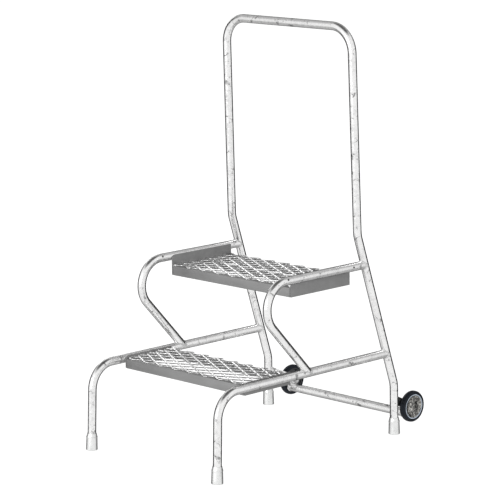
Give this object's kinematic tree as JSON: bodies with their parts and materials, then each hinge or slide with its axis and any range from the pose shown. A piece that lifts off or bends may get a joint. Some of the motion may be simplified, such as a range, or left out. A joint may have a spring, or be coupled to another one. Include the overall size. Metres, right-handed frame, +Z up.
{
  "type": "mobile access step with handrail",
  "caption": "Welded tubular access step with stepped open-mesh treads, a tall loop handrail, ferrule feet and rear wheels that roll when it is tipped back.",
  "frame": {"origin": "on the floor, at the centre of the footprint from the front ferrules to the back of the tyres", "axes": "+Z up, +Y the way the user faces when climbing (towards the handrail and wheels), +X to the user's right"},
  "size_m": [0.559, 0.8846, 1.2294],
  "materials": {
    "zinc_tube": "hot-dip galvanised, satin with mottled patches",
    "tread_steel": "dull zinc-grey folded steel",
    "mesh_steel": "bright expanded steel sheet",
    "ferrule_plastic": "milky pale grey",
    "tyre_rubber": "black, slightly blue",
    "hub_plastic": "pale blue-grey",
    "cap_plastic": "dark grey-brown, glossy",
    "bolt_steel": "bright zinc plated",
    "bush_bronze": "plain bronze bush"
  },
  "bodies": {
    "frame": {"handrail_tube": "zinc_tube", "left_axle_bolt": "bolt_steel", "left_axle_nut": "bolt_steel", "left_brace_tube": "zinc_tube", "left_front_ferrule": "ferrule_plastic", "left_front_leg_tube": "zinc_tube", "left_inner_washer": "bolt_steel", "left_outer_washer": "bolt_steel", "left_rear_ferrule": "ferrule_plastic", "left_wheel_bracket": "zinc_tube", "lower_tread_front_angle": "tread_steel", "lower_tread_left_plate": "tread_steel", "lower_tread_mesh": "mesh_steel", "lower_tread_rear_angle": "tread_steel", "lower_tread_right_plate": "tread_steel", "right_axle_bolt": "bolt_steel", "right_axle_nut": "bolt_steel", "right_brace_tube": "zinc_tube", "right_front_ferrule": "ferrule_plastic", "right_front_leg_tube": "zinc_tube", "right_inner_washer": "bolt_steel", "right_outer_washer": "bolt_steel", "right_rear_ferrule": "ferrule_plastic", "right_wheel_bracket": "zinc_tube", "upper_tread_front_angle": "tread_steel", "upper_tread_left_plate": "tread_steel", "upper_tread_mesh": "mesh_steel", "upper_tread_rear_angle": "tread_steel", "upper_tread_right_plate": "tread_steel", "upper_tread_support": "tread_steel", "wheel_cross_bar": "zinc_tube"},
    "left_wheel": {"left_tyre": "tyre_rubber", "left_wheel_hub": "hub_plastic", "left_hub_cap": "cap_plastic", "left_wheel_bush": "bush_bronze"},
    "right_wheel": {"right_tyre": "tyre_rubber", "right_wheel_hub": "hub_plastic", "right_hub_cap": "cap_plastic", "right_wheel_bush": "bush_bronze"}
  },
  "joints": [
    {"name": "left_wheel_spin", "type": "hinge", "parent": "frame", "child": "left_wheel", "pos_m": [-0.2504, 0.3953, 0.0648], "axis": [1, 0, 0], "continuous": true},
    {"name": "right_wheel_spin", "type": "hinge", "parent": "frame", "child": "right_wheel", "pos_m": [0.2504, 0.3953, 0.0648], "axis": [1, 0, 0], "continuous": true}
  ]
}
